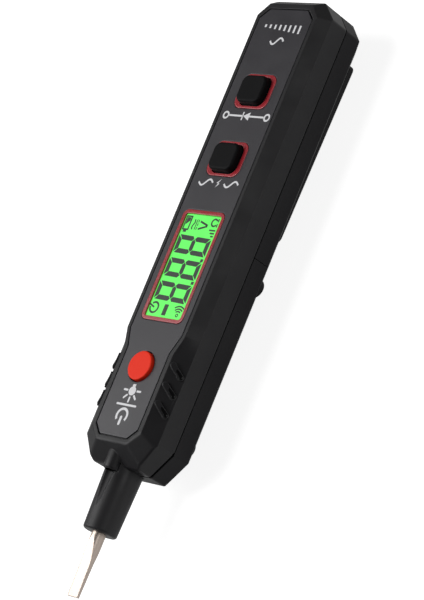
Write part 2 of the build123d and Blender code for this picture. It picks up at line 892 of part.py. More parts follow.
# Pocket clip: a strap that narrows towards its free end, on a barrel that turns in the cover's trough
clip_free_x = barrel_x - clip_length
bump_x = clip_free_x + 2 * clip_bump_radius
bump_z = back_z - clip_bump_gap - clip_bump_radius
with BuildPart() as pocket_clip:
    with BuildSketch(Plane.XY):
        with BuildLine():
            Polyline(
                (clip_free_x, -clip_free_half),
                (barrel_x + barrel_radius, -clip_root_half),
                (barrel_x + barrel_radius, clip_root_half),
                (clip_free_x, clip_free_half),
                close=True,
            )
        make_face()
    extrude(amount=clip_thickness)
    fillet(pocket_clip.edges().filter_by(Axis.Z), clip_corner)
    block(
        barrel_x - clip_neck,
        barrel_x + clip_neck,
        -barrel_half,
        barrel_half,
        clip_thickness / 2,
        barrel_z,
    )
    with BuildSketch(Plane.XZ.offset(-barrel_half)):
        with Locations((barrel_x, barrel_z)):
            Circle(barrel_radius)
    extrude(amount=2 * barrel_half)
    with BuildSketch(Plane.XZ.offset(-clip_free_half + clip_corner)):
        with Locations((bump_x, bump_z)):
            Circle(clip_bump_radius)
    extrude(amount=2 * (clip_free_half - clip_corner))
    split(bisect_by=Plane.XY, keep=Keep.TOP)
pocket_clip.part.label = "pocket_clip"
export_step(pocket_clip.part, "parts/pocket_clip.step")


def add_screw(x, y, head_under, direction, length):
    """A pan-head screw with a cross recess, its shank along Z from under its head."""
    head_end = head_under - direction * screw_head_height
    cross_end = head_end + direction * screw_cross_depth
    disc(x, y, screw_head_radius, *sorted((head_under, head_end)))
    disc(x, y, screw_radius, *sorted((head_under, head_under + direction * length)))
    for long, wide in ((screw_cross_length, screw_cross_width), (screw_cross_width, screw_cross_length)):
        low, high = sorted((head_end, cross_end))
        block(x - long / 2, x + long / 2, y - wide / 2, y + wide / 2, low, high, mode=Mode.SUBTRACT)


# Screws: four through the back shell into the front shell, two through the board into the deck
with BuildPart() as shell_screws:
    for x, y in shell_screws_at:
        head_under = screw_pocket_top
        add_screw(x, y, head_under, 1, deck_under - 2 * seat_gap - head_under)
shell_screws.part.label = "shell_screws"
export_step(shell_screws.part, "parts/shell_screws.step")

with BuildPart() as board_screws:
    for x, y in board_screws_at:
        add_screw(x, y, board_under, 1, deck_under - 2 * seat_gap - board_under)
board_screws.part.label = "board_screws"
export_step(board_screws.part, "parts/board_screws.step")
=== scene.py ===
import json
import math
import bmesh
import bpy
from mathutils import Matrix, Vector
from mathutils.bvhtree import BVHTree


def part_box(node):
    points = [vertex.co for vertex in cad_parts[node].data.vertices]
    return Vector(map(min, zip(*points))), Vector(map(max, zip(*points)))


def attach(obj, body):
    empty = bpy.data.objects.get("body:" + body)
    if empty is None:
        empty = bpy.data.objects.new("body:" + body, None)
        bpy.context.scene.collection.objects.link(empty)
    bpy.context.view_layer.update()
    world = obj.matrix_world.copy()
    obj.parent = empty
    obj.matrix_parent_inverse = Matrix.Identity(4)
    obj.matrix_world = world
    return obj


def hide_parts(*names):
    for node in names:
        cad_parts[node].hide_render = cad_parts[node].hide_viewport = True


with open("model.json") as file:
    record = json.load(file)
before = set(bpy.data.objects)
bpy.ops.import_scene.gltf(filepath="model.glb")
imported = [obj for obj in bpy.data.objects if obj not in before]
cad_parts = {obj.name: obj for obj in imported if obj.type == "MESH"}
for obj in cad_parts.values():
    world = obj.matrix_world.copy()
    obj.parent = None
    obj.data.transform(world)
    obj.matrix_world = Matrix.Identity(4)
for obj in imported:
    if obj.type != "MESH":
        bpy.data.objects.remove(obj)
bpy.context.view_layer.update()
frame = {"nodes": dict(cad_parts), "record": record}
nodes = frame["nodes"]
mm = 0.001

# ---- places taken from the frame ----
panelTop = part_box("front_panel")[1].z
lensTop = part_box("display_lens")[1].z
bezelLow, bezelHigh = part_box("display_bezel")
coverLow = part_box("battery_cover")[0]
sleeveLow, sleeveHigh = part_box("probe_sleeve")
slotOf = {entry["node"]: entry["material_slot"] for entry in frame["record"]["subparts"]}
bodyOf = {node: body for body, held in frame["record"]["behaviour"]["bodies"].items() for node in held}
print("frame loaded, panel at", round(panelTop / mm, 2), "mm")


# ---- node helpers ----
def newGroup(name, inputs, outputs):
    group = bpy.data.node_groups.new(name, "ShaderNodeTree")
    for label, kind, value in inputs:
        socket = group.interface.new_socket(label, in_out="INPUT", socket_type=kind)
        if value is not None:
            socket.default_value = value
    for label, kind in outputs:
        group.interface.new_socket(label, in_out="OUTPUT", socket_type=kind)
    start = group.nodes.new("NodeGroupInput")
    end = group.nodes.new("NodeGroupOutput")
    return group, start, end


def math2(tree, operation, a, b, clamp=False):
    node = tree.nodes.new("ShaderNodeMath")
    node.operation = operation
    node.use_clamp = clamp
    for index, value in enumerate((a, b)):
        if hasattr(value, "is_linked"):
            tree.links.new(value, node.inputs[index])
        else:
            node.inputs[index].default_value = value
    return node.outputs[0]


def ramp(tree, value, low, high, outLow=0.0, outHigh=1.0):
    node = tree.nodes.new("ShaderNodeMapRange")
    node.inputs["From Min"].default_value = low
    node.inputs["From Max"].default_value = high
    node.inputs["To Min"].default_value = outLow
    node.inputs["To Max"].default_value = outHigh
    tree.links.new(value, node.inputs["Value"])
    return node.outputs["Result"]


def blendColours(tree, share, low, high):
    node = tree.nodes.new("ShaderNodeMix")
    node.data_type = "RGBA"
    tree.links.new(share, node.inputs["Factor"])
    colours = [socket for socket in node.inputs if socket.type == "RGBA"]
    for socket, value in zip(colours, (low, high)):
        if hasattr(value, "is_linked"):
            tree.links.new(value, socket)
        else:
            socket.default_value = (*value, 1.0)
    return next(socket for socket in node.outputs if socket.type == "RGBA")


# gives a finished mesh its object and its body
def addPiece(name, mesh, body):
    mesh.name = name
    piece = bpy.data.objects.new(name, mesh)
    bpy.context.scene.collection.objects.link(piece)
    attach(piece, body)
    return piece


# the plain mesh that a maker object's modifiers leave; the maker goes
def takeMesh(holder):
    graph = bpy.context.evaluated_depsgraph_get()
    mesh = bpy.data.meshes.new_from_object(holder.evaluated_get(graph))
    bpy.data.objects.remove(holder)
    return mesh


# fine moulded grain plus slow handling smudges, as plain values
def makeGrainGroup():
    inputs = (("Grain Scale", "NodeSocketFloat", 3000.0), ("Smudge Scale", "NodeSocketFloat", 90.0))
    outputs = (("Grain", "NodeSocketFloat"), ("Smudge", "NodeSocketFloat"))
    group, start, end = newGroup("grainAndSmudge", inputs, outputs)
    coords = group.nodes.new("ShaderNodeTexCoord")
    grain = group.nodes.new("ShaderNodeTexNoise")
    grain.inputs["Detail"].default_value = 3.0
    grain.inputs["Roughness"].default_value = 0.6
    smudge = group.nodes.new("ShaderNodeTexNoise")
    smudge.inputs["Detail"].default_value = 5.0
    smudge.inputs["Distortion"].default_value = 0.8
    for node, label in ((grain, "Grain Scale"), (smudge, "Smudge Scale")):
        group.links.new(coords.outputs["Object"], node.inputs["Vector"])
        group.links.new(start.outputs[label], node.inputs["Scale"])
    group.links.new(grain.outputs["Fac"], end.inputs["Grain"])
    group.links.new(smudge.outputs["Fac"], end.inputs["Smudge"])
    return group


# rounded edges for shading, and a mask of where the edges are
def makeEdgeGroup():
    inputs = (("Radius", "NodeSocketFloat", 0.0003),)
    outputs = (("Edge", "NodeSocketFloat"), ("Rounded Normal", "NodeSocketVector"))
    group, start, end = newGroup("softEdges", inputs, outputs)
    bevel = group.nodes.new("ShaderNodeBevel")
    bevel.samples = 6
    group.links.new(start.outputs["Radius"], bevel.inputs["Radius"])
    geometry = group.nodes.new("ShaderNodeNewGeometry")
    product = group.nodes.new("ShaderNodeVectorMath")
    product.operation = "DOT_PRODUCT"
    group.links.new(bevel.outputs["Normal"], product.inputs[0])
    group.links.new(geometry.outputs["Normal"], product.inputs[1])
    edge = ramp(group, product.outputs["Value"], 0.995, 0.93)
    group.links.new(edge, end.inputs["Edge"])
    group.links.new(bevel.outputs["Normal"], end.inputs["Rounded Normal"])
    return group


grainGroup = makeGrainGroup()
edgeGroup = makeEdgeGroup()


def placeGroup(tree, group, values):
    node = tree.nodes.new("ShaderNodeGroup")
    node.node_tree = group
    for label, value in values.items():
        node.inputs[label].default_value = value
    return node


# a solid finish: base colour with grain, smudges, edges lightened partly by wear and partly by a painted
# highlight, and a little bump
def makeFinish(name, look):
    material = bpy.data.materials.new(name)
    material.use_nodes = True
    tree = material.node_tree
    shader = tree.nodes["Principled BSDF"]
    scales = {"Grain Scale": look["grainScale"], "Smudge Scale": look["smudgeScale"]}
    grain = placeGroup(tree, grainGroup, scales)
    soft = placeGroup(tree, edgeGroup, {"Radius": look["edgeRadius"]})
    share = math2(tree, "MULTIPLY", grain.outputs["Grain"], look["grainShare"])
    slow = math2(tree, "MULTIPLY", grain.outputs["Smudge"], 1.0 - look["grainShare"])
    smudged = blendColours(tree, math2(tree, "ADD", share, slow, clamp=True), look["dark"], look["light"])
    # painted highlight: the edge mask blends the base colour towards the edge colour, partly real edge
    # wear and partly a painted highlight along the edges and ridges
    wear = math2(tree, "MULTIPLY", soft.outputs["Edge"], look["wear"])
    tree.links.new(blendColours(tree, wear, smudged, look["worn"]), shader.inputs["Base Color"])
    rough = ramp(tree, grain.outputs["Smudge"], 0.3, 0.7, look["roughLow"], look["roughHigh"])
    tree.links.new(rough, shader.inputs["Roughness"])
    bump = tree.nodes.new("ShaderNodeBump")
    bump.inputs["Strength"].default_value = look["bump"]
    bump.inputs["Distance"].default_value = look["bumpDepth"]
    tree.links.new(grain.outputs["Grain"], bump.inputs["Height"])
    tree.links.new(soft.outputs["Rounded Normal"], bump.inputs["Normal"])
    tree.links.new(bump.outputs["Normal"], shader.inputs["Normal"])
    for label, value in look.get("sockets", {}).items():
        shader.inputs[label].default_value = value
    return material


def lookOf(**changes):
    look = {
        "dark": (0.0063, 0.0060, 0.0070),
        "light": (0.0115, 0.0110, 0.0126),
        # edge colour and its share: partly edge wear, partly a painted highlight
        "worn": (0.05, 0.05, 0.052),
        "wear": 0.6,
        "grainScale": 3200.0,
        "smudgeScale": 90.0,
        "grainShare": 0.5,
        "edgeRadius": 0.00035,
        "roughLow": 0.42,
        "roughHigh": 0.55,
        "bump": 0.25,
        "bumpDepth": 0.00004,
        "sockets": {"Specular IOR Level": 0.3},
    }
    look.update(changes)
    return look


finishes = {
    "black_shell": lookOf(),
    # shaded copy of black_shell for the rear: less gloss and less painted edge highlight, to darken that
    # side as if in shade
    "rear_black_shaded": lookOf(wear=0.35, roughLow=0.48, roughHigh=0.6, sockets={"Specular IOR Level": 0.2}),
    "grip_black": lookOf(
        dark=(0.002, 0.002, 0.0022),
        light=(0.004, 0.004, 0.0043),
        wear=0.1,
        roughLow=0.2,
        roughHigh=0.28,
        edgeRadius=0.00015,
        sockets={"Specular IOR Level": 0.25},
    ),
    "grey_panel": lookOf(
        dark=(0.0262, 0.0246, 0.0288),
        light=(0.0338, 0.0318, 0.0374),
        worn=(0.09, 0.09, 0.1),
        roughLow=0.36,
        roughHigh=0.46,
        bump=0.12,
        sockets={"Specular IOR Level": 0.42},
    ),
    "red_trim": lookOf(
        dark=(0.30, 0.009, 0.017),
        light=(0.45, 0.022, 0.034),
        worn=(0.7, 0.15, 0.17),
        roughLow=0.22,
        roughHigh=0.34,
        bump=0.05,
        sockets={"Specular IOR Level": 0.6, "Coat Weight": 0.4, "Coat Roughness": 0.15},
    ),
    "black_rubber": lookOf(
        dark=(0.003, 0.003, 0.0034),
        light=(0.006, 0.006, 0.0066),
        worn=(0.03, 0.03, 0.032),
        roughLow=0.5,
        roughHigh=0.62,
        grainScale=4200.0,
        bump=0.35,
        sockets={"Specular IOR Level": 0.08, "Sheen Weight": 0.02},
    ),
    "red_button": lookOf(
        dark=(0.88, 0.026, 0.008),
        light=(0.98, 0.042, 0.014),
        worn=(0.95, 0.2, 0.12),
        wear=0.35,
        roughLow=0.42,
        roughHigh=0.52,
        bump=0.1,
        sockets={"Specular IOR Level": 0.12},
    ),
    "black_sleeve": lookOf(
        dark=(0.0135, 0.0130, 0.0140),
        light=(0.0205, 0.0198, 0.0215),
        roughLow=0.38,
        roughHigh=0.5,
        bump=0.12,
        sockets={"Specular IOR Level": 0.3},
    ),
    "blade_steel": lookOf(
        dark=(0.50, 0.42, 0.365),
        light=(0.58, 0.50, 0.44),
        worn=(0.6, 0.54, 0.5),
        wear=0.3,
        grainScale=2400.0,
        roughLow=0.4,
        roughHigh=0.48,
        bump=0.06,
        sockets={"Metallic": 1.0},
    ),
    "plated_steel": lookOf(
        dark=(0.5, 0.5, 0.5),
        light=(0.72, 0.72, 0.72),
        worn=(0.85, 0.85, 0.85),
        roughLow=0.2,
        roughHigh=0.35,
        sockets={"Metallic": 1.0},
    ),
    "board_green": lookOf(dark=(0.01, 0.08, 0.03), light=(0.015, 0.14, 0.05), worn=(0.3, 0.28, 0.1)),
    "chip_black": lookOf(dark=(0.012, 0.012, 0.012), light=(0.025, 0.025, 0.025)),
    "resistor_blue": lookOf(dark=(0.03, 0.1, 0.22), light=(0.06, 0.16, 0.32), worn=(0.4, 0.45, 0.5)),
    "cell_jacket": lookOf(
        dark=(0.03, 0.03, 0.035),
        light=(0.05, 0.05, 0.06),
        worn=(0.6, 0.6, 0.6),
        roughLow=0.25,
        roughHigh=0.35,
        sockets={"Specular IOR Level": 0.5, "Coat Weight": 0.3},
    ),
    "white_print": lookOf(
        dark=(0.72, 0.72, 0.74),
        light=(0.85, 0.85, 0.87),
        worn=(0.6, 0.6, 0.62),
        wear=0.3,
        edgeRadius=0.00003,
        roughLow=0.5,
        roughHigh=0.6,
        bump=0.1,
        bumpDepth=0.00001,
    ),
    "segment_ink": lookOf(
        dark=(0.030, 0.040, 0.033),
        light=(0.055, 0.070, 0.058),
        worn=(0.08, 0.1, 0.08),
        wear=0.2,
        edgeRadius=0.00003,
        roughLow=0.4,
        roughHigh=0.5,
        bump=0.03,
    ),
}
made = {name: makeFinish(name, look) for name, look in finishes.items()}


# lit display face: green with a faint uneven glow
def makeLitGreen():
    material = bpy.data.materials.new("display_green")
    material.use_nodes = True
    tree = material.node_tree
    shader = tree.nodes["Principled BSDF"]
    grain = placeGroup(tree, grainGroup, {"Grain Scale": 900.0, "Smudge Scale": 130.0})
    glow = blendColours(tree, grain.outputs["Smudge"], (0.075, 0.80, 0.070), (0.150, 1.0, 0.140))
    tree.links.new(glow, shader.inputs["Emission Color"])
    shader.inputs["Emission Strength"].default_value = 0.78
    shader.inputs["Base Color"].default_value = (0.05, 0.35, 0.05, 1.0)
    tree.links.new(ramp(tree, grain.outputs["Grain"], 0.3, 0.7, 0.35, 0.45), shader.inputs["Roughness"])
    return material


# clear moulded window: mostly see-through, keeps a soft gloss
def makeClear(name, tint, alpha, roughness):
    material = bpy.data.materials.new(name)
    material.use_nodes = True
    tree = material.node_tree
    shader = tree.nodes["Principled BSDF"]
    grain = placeGroup(tree, grainGroup, {"Grain Scale": 1500.0, "Smudge Scale": 160.0})
    shader.inputs["Base Color"].default_value = (*tint, 1.0)
    rough = ramp(tree, grain.outputs["Smudge"], 0.3, 0.7, roughness, roughness * 1.8)
    tree.links.new(rough, shader.inputs["Roughness"])
    clear = ramp(tree, grain.outputs["Smudge"], 0.3, 0.7, alpha, alpha * 1.3)
    tree.links.new(clear, shader.inputs["Alpha"])
    return material


made["display_green"] = makeLitGreen()
made["clear_window"] = makeClear("clear_window", (0.9, 1.0, 0.9), 0.06, 0.06)
made["lamp_clear"] = makeClear("lamp_clear", (0.95, 0.95, 1.0), 0.45, 0.08)

# every CAD node takes the finish of its own slot; the rear mouldings take a shaded copy, duller and with
# less painted edge highlight, so that side looks darker as if in shade
ownFinish = {"back_shell": "rear_black_shaded", "battery_cover": "rear_black_shaded"}
for nodeName, slotName in slotOf.items():
    mesh = nodes[nodeName].data
    mesh.materials.clear()
    mesh.materials.append(made[ownFinish.get(nodeName, slotName)])
print("finishes assigned to", len(nodes), "CAD nodes")


# ---- moulded front shell: real rounded edges at the head and an open joint line ----
moulding = {
    "outerRound": 0.55 * mm,  # widest rounding on an outer edge
    "ridgeLength": 20.0 * mm,  # longer edges are ridges and stay crisp
    "ridgeShare": 0.2,
    "leastRoom": 1.0 * mm,  # narrower faces keep their edges
    "flatAngle": 0.4,  # degrees, below which neighbouring faces are one
    "roundShare": 0.3,  # of the narrower face beside the edge
    "steps": 4,
    "roundEnd": 60.0 * mm,  # the cap end keeps its crisp facets
    "sharpFrom": 14.0,  # degrees
    "ribsEnd": -12.0 * mm,
    "boreRadius": 4.9 * mm,
    "boreBand": 0.06 * mm,
    "boreEnd": -44.0 * mm,
    "boreRelief": 0.3 * mm,
    "jointGap": 0.13 * mm,  # the shell steps back by this at the joint line
    "jointHeight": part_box("front_shell")[0].z,
    "deckNormal": 0.95,  # faces that look more nearly straight up keep their joins
    "flankNormal": 0.3,
    "weld": 0.002 * mm,
    "nearJoint": 0.01 * mm,
    "inset": 0.15 * mm,  # where the rays that look for the outside start
    "lift": 0.03 * mm,
    "farAway": 0.4,
}


def allSolids():
    joined = bmesh.new()
    for node in nodes.values():
        joined.from_mesh(node.data)
    tree = BVHTree.FromBMesh(joined)
    joined.free()
    return tree


def opensOutside(tree, loop):
    face = loop.face
    start = loop.vert.co
    along = (loop.link_loop_next.vert.co - start).normalized()
    inward = face.normal.cross(along)
    middle = (start + loop.link_loop_next.vert.co) / 2
    middle += inward * moulding["inset"] + face.normal * moulding["lift"]
    for side, ahead in ((0, 0), (1, 0), (-1, 0), (0, 1), (0, -1), (0.5, 0.5), (-0.5, -0.5)):
        direction = (face.normal + inward * side + along * ahead).normalized()
        if tree.ray_cast(middle, direction, moulding["farAway"])[0] is None:
            return True
    return False


def roomBeside(loop):
    start = loop.vert.co
    along = (loop.link_loop_next.vert.co - start).normalized()
    inward = loop.face.normal.cross(along)
    return max((corner.co - start).dot(inward) for corner in loop.face.verts)


# joins of coplanar outer triangles; the deck and the ribbed flanks keep theirs
def flatJoins(shape, tree):
    joins = []
    for edge in shape.edges:
        if len(edge.link_loops) != 2 or edge.calc_face_angle() > math.radians(moulding["flatAngle"]):
            continue
        normal = edge.link_faces[0].normal
        onFlank = min(abs(normal.y), normal.z) > moulding["flankNormal"]
        ribbed = onFlank and edge.verts[0].co.x < moulding["ribsEnd"]
        if abs(normal.z) >= moulding["deckNormal"] or ribbed:
            continue
        if all(opensOutside(tree, loop) for loop in edge.link_loops):
            joins.append(edge)
    return joins


# the shell stands a little clear of the sleeve where it comes out
def openBore(shape):
    axis = (sleeveLow.z + sleeveHigh.z) / 2
    for vert in shape.verts:
        radial = Vector((0.0, vert.co.y, vert.co.z - axis))
        onBore = abs(radial.length - moulding["boreRadius"]) < moulding["boreBand"]
        if onBore and vert.co.x < moulding["boreEnd"]:
            vert.co += radial.normalized() * moulding["boreRelief"]


# how much of the full rounding each outer edge takes
def weighEdges(shape, tree):
    weights = shape.edges.layers.float.new("bevel_weight_edge")
    for edge in shape.edges:
        if len(edge.link_loops) != 2 or not edge.is_convex:
            continue
        if edge.calc_face_angle() < math.radians(moulding["sharpFrom"]):
            continue
        if max(vert.co.x for vert in edge.verts) > moulding["roundEnd"]:
            continue
        room = min(roomBeside(loop) for loop in edge.link_loops)
        if room < moulding["leastRoom"] or not all(opensOutside(tree, loop) for loop in edge.link_loops):
            continue
        share = min(1.0, moulding["roundShare"] * room / moulding["outerRound"])
        edge[weights] = share if edge.calc_length() < moulding["ridgeLength"] else moulding["ridgeShare"]


def makeRounded(nodeName, tree):
    source = nodes[nodeName]
    shape = bmesh.new()
    shape.from_mesh(source.data)
    bmesh.ops.remove_doubles(shape, verts=shape.verts, dist=moulding["weld"])
    bmesh.ops.dissolve_edges(shape, edges=flatJoins(shape, tree), use_verts=True)
    weighEdges(shape, tree)
    for vert in shape.verts:
        if abs(vert.co.z - moulding["jointHeight"]) < moulding["nearJoint"]:
            vert.co.z += moulding["jointGap"]
    openBore(shape)
    mesh = bpy.data.meshes.new(nodeName + "_sharp")
    shape.to_mesh(mesh)
    shape.free()
    holder = bpy.data.objects.new(nodeName + "_maker", mesh)
    bpy.context.scene.collection.objects.link(holder)
    bevel = holder.modifiers.new("rounding", "BEVEL")
    bevel.limit_method = "WEIGHT"
    bevel.width = moulding["outerRound"]
    bevel.segments = moulding["steps"]
    bevel.use_clamp_overlap = False
    bevel.loop_slide = True
    final = takeMesh(holder)
    final.materials.clear()
    final.materials.append(source.data.materials[0])
    piece = addPiece(nodeName + "_rounded", final, bodyOf[nodeName])
    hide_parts(nodeName)
    print(nodeName, "rounded,", len(final.polygons), "faces")


makeRounded("front_shell", allSolids())


# ---- domed grip pads on both flanks of the head, spread by geometry nodes ----
gripPads = {
    "count": 3,
    "spacing": 4.95 * mm,
    "first": -31.75 * mm,
    "length": 5.1 * mm,
    "width": 1.75 * mm,
    "height": 0.75 * mm,
    "slant": 39.0,
    "rings": 6,
    "corners": 28,
    "flankFoot": (12.9 * mm, 17.8 * mm),  # half width and height at the foot of the flank
    "flankHead": (8.9 * mm, 20.4 * mm),
}


# a stadium outline drawn in by rings that rise like a dome
def padMesh():
    mesh = bpy.data.meshes.new("grip_pad")
    pad = bmesh.new()
    straight = (gripPads["length"] - gripPads["width"]) / 2
    half = gripPads["width"] / 2
    rings = []
    for level in range(gripPads["rings"]):
        angle = math.pi / 2 * level / gripPads["rings"]
        radius, height = half * math.cos(angle), gripPads["height"] * math.sin(angle)
        ring = []
        for corner in range(gripPads["corners"]):
            turn = 2 * math.pi * (corner + 0.5) / gripPads["corners"]
            x, y = radius * math.cos(turn), radius * math.sin(turn)
            ring.append(pad.verts.new((x, y + math.copysign(straight, y), height)))
        rings.append(ring)
    for low, high in zip(rings, rings[1:]):
        for corner in range(gripPads["corners"]):
            after = (corner + 1) % gripPads["corners"]
            pad.faces.new((low[corner], low[after], high[after], high[corner]))
    pad.faces.new(rings[-1])
    pad.faces.new(rings[0][::-1])
    bmesh.ops.recalc_face_normals(pad, faces=pad.faces)
    for face in pad.faces:
        face.smooth = len(face.verts) == 4
    pad.to_mesh(mesh)
    pad.free()
    return mesh


def spreadTree(name, material):
    tree = bpy.data.node_groups.new(name, "GeometryNodeTree")
    inputs = (("Unit", "NodeSocketObject"), ("Count", "NodeSocketInt"), ("Spacing", "NodeSocketFloat"))
    for label, kind in inputs:
        tree.interface.new_socket(label, in_out="INPUT", socket_type=kind)
    tree.interface.new_socket("Geometry", in_out="OUTPUT", socket_type="NodeSocketGeometry")
    start = tree.nodes.new("NodeGroupInput")
    end = tree.nodes.new("NodeGroupOutput")
    row = tree.nodes.new("GeometryNodeMeshLine")
    offset = tree.nodes.new("ShaderNodeCombineXYZ")
    unit = tree.nodes.new("GeometryNodeObjectInfo")
    spread = tree.nodes.new("GeometryNodeInstanceOnPoints")
    real = tree.nodes.new("GeometryNodeRealizeInstances")
    paintNode = tree.nodes.new("GeometryNodeSetMaterial")
    paintNode.inputs["Material"].default_value = material
    for source, target in (
        (start.outputs["Count"], row.inputs["Count"]),
        (start.outputs["Spacing"], offset.inputs["X"]),
        (offset.outputs[0], row.inputs["Offset"]),
        (start.outputs["Unit"], unit.inputs["Object"]),
        (row.outputs["Mesh"], spread.inputs["Points"]),
        (unit.outputs["Geometry"], spread.inputs["Instance"]),
        (spread.outputs["Instances"], real.inputs["Geometry"]),
        (real.outputs["Geometry"], paintNode.inputs["Geometry"]),
        (paintNode.outputs["Geometry"], end.inputs["Geometry"]),
    ):
        tree.links.new(source, target)
    return tree


# runs the tree on one unit mesh and gives back a plain mesh
def spreadOut(tree, unitMesh, count, spacing):
    unit = bpy.data.objects.new("unit_maker", unitMesh)
    holder = bpy.data.objects.new("row_maker", bpy.data.meshes.new("row_maker"))
    for maker in (unit, holder):
        bpy.context.scene.collection.objects.link(maker)
    modifier = holder.modifiers.new("row", "NODES")
    modifier.node_group = tree
    values = {"Unit": unit, "Count": count, "Spacing": spacing}
    for item in tree.interface.items_tree:
        if item.in_out == "INPUT":
            modifier[item.identifier] = values[item.name]
    mesh = takeMesh(holder)
    bpy.data.objects.remove(unit)
    return mesh


# the flank's own frame: along the body, up the slope and straight out
def flankFrame(side):
    (lowHalf, lowZ), (highHalf, highZ) = gripPads["flankFoot"], gripPads["flankHead"]
    lowPoint = Vector((0.0, side * lowHalf, lowZ))
    highPoint = Vector((0.0, side * highHalf, highZ))
    up = (highPoint - lowPoint).normalized()
    out = Vector((0.0, side * up.z, abs(up.y)))
    return (lowPoint + highPoint) / 2, up, out


def makeGripPads():
    tree = spreadTree("gripPadRow", made["grip_black"])
    for side, name in ((-1, "grip_pads_right"), (1, "grip_pads_left")):
        middle, up, out = flankFrame(side)
        along = up.cross(out)
        turn = Matrix((along, up, out)).transposed().to_4x4()
        lean = Matrix.Rotation(math.radians(math.copysign(gripPads["slant"], -along.x)), 4, "Z")
        unitMesh = padMesh()
        unitMesh.transform(turn @ lean)
        mesh = spreadOut(tree, unitMesh, gripPads["count"], gripPads["spacing"])
        mesh.transform(Matrix.Translation(middle + Vector((gripPads["first"], 0.0, 0.0))))
        addPiece(name, mesh, "housing")


makeGripPads()
print("grip pads made")


# ---- flat shapes: every outline is a closed list of points in millimetres ----
arcSteps = {"disc": 40, "arc": 32, "barEnd": 8, "wave": 24}
fullTurn = 359.9  # degrees, left open by a hair so that a ring has one outline


def arcPoints(cx, cy, radius, start, stop, count):
    points = []
    for step in range(count + 1):
        angle = math.radians(start + (stop - start) * step / count)
        points.append((cx + radius * math.cos(angle), cy + radius * math.sin(angle)))
    return points


def discShape(cx, cy, radius):
    return arcPoints(cx, cy, radius, 0, 360, arcSteps["disc"])[:-1]


def arcShape(cx, cy, radius, width, start, stop):
    outer = arcPoints(cx, cy, radius + width / 2, start, stop, arcSteps["arc"])
    inner = arcPoints(cx, cy, radius - width / 2, stop, start, arcSteps["arc"])
    return outer + inner


def barShape(x0, y0, x1, y1, width, rounded=True):
    angle = math.degrees(math.atan2(y1 - y0, x1 - x0))
    if rounded:
        farEnd = arcPoints(x1, y1, width / 2, angle - 90, angle + 90, arcSteps["barEnd"])
        return farEnd + arcPoints(x0, y0, width / 2, angle + 90, angle + 270, arcSteps["barEnd"])
    sx = math.sin(math.radians(angle)) * width / 2
    sy = math.cos(math.radians(angle)) * width / 2
    return [(x0 + sx, y0 - sy), (x1 + sx, y1 - sy), (x1 - sx, y1 + sy), (x0 - sx, y0 + sy)]


def boxShape(x0, y0, x1, y1):
    return [(x0, y0), (x1, y0), (x1, y1), (x0, y1)]


def pathShape(points, width):
    left, right = [], []
    for index, (x, y) in enumerate(points):
        ahead = points[min(index + 1, len(points) - 1)]
        behind = points[max(index - 1, 0)]
        angle = math.atan2(ahead[1] - behind[1], ahead[0] - behind[0]) + math.pi / 2
        dx, dy = math.cos(angle) * width / 2, math.sin(angle) * width / 2
        left.append((x + dx, y + dy))
        right.append((x - dx, y - dy))
    return right + left[::-1]


def waveShape(x, y0, y1, height, waves, width):
    points = []
    steps = arcSteps["wave"] * waves
    for step in range(steps + 1):
        share = step / steps
        points.append((x + height / 2 * math.sin(2 * math.pi * waves * share), y0 + (y1 - y0) * share))
    return pathShape(points, width)


# a set of thin plates standing on z, made one mesh and carried by a body
def makeFlat(name, outlines, z, thickness, material, body):
    mesh = bpy.data.meshes.new(name)
    made3d = bmesh.new()
    for outline in outlines:
        low = [made3d.verts.new((x * mm, y * mm, z)) for x, y in outline]
        high = [made3d.verts.new((x * mm, y * mm, z + thickness)) for x, y in outline]
        count = len(outline)
        made3d.faces.new(high)
        made3d.faces.new(low[::-1])
        for index in range(count):
            after = (index + 1) % count
            made3d.faces.new((low[index], low[after], high[after], high[index]))
    bmesh.ops.recalc_face_normals(made3d, faces=made3d.faces)
    bmesh.ops.triangulate(made3d, faces=[f for f in made3d.faces if len(f.verts) > 4])
    made3d.to_mesh(mesh)
    made3d.free()
    mesh.materials.append(material)
    addPiece(name, mesh, body)


# ---- display ----
display = {
    "faceThickness": 0.3 * mm,  # film and mask laid on the lens
    "faceInset": 0.15,
    "inkLift": 0.004 * mm,
    "inkThickness": 0.012 * mm,
    "shift": (0.1, 0.25),
    "digitWidth": 4.95,
    "digitHeight": 11.6,
    "digitSlant": 0.035,
    "stroke": 1.3,
    "gap": 0.11,
    "digitsAt": (-5.15, 1.2, 7.55),  # left foot of each digit
    "digitFoot": -5.85,
    "bezelBand": 0.95,
    "faceLift": 0.002 * mm,
}

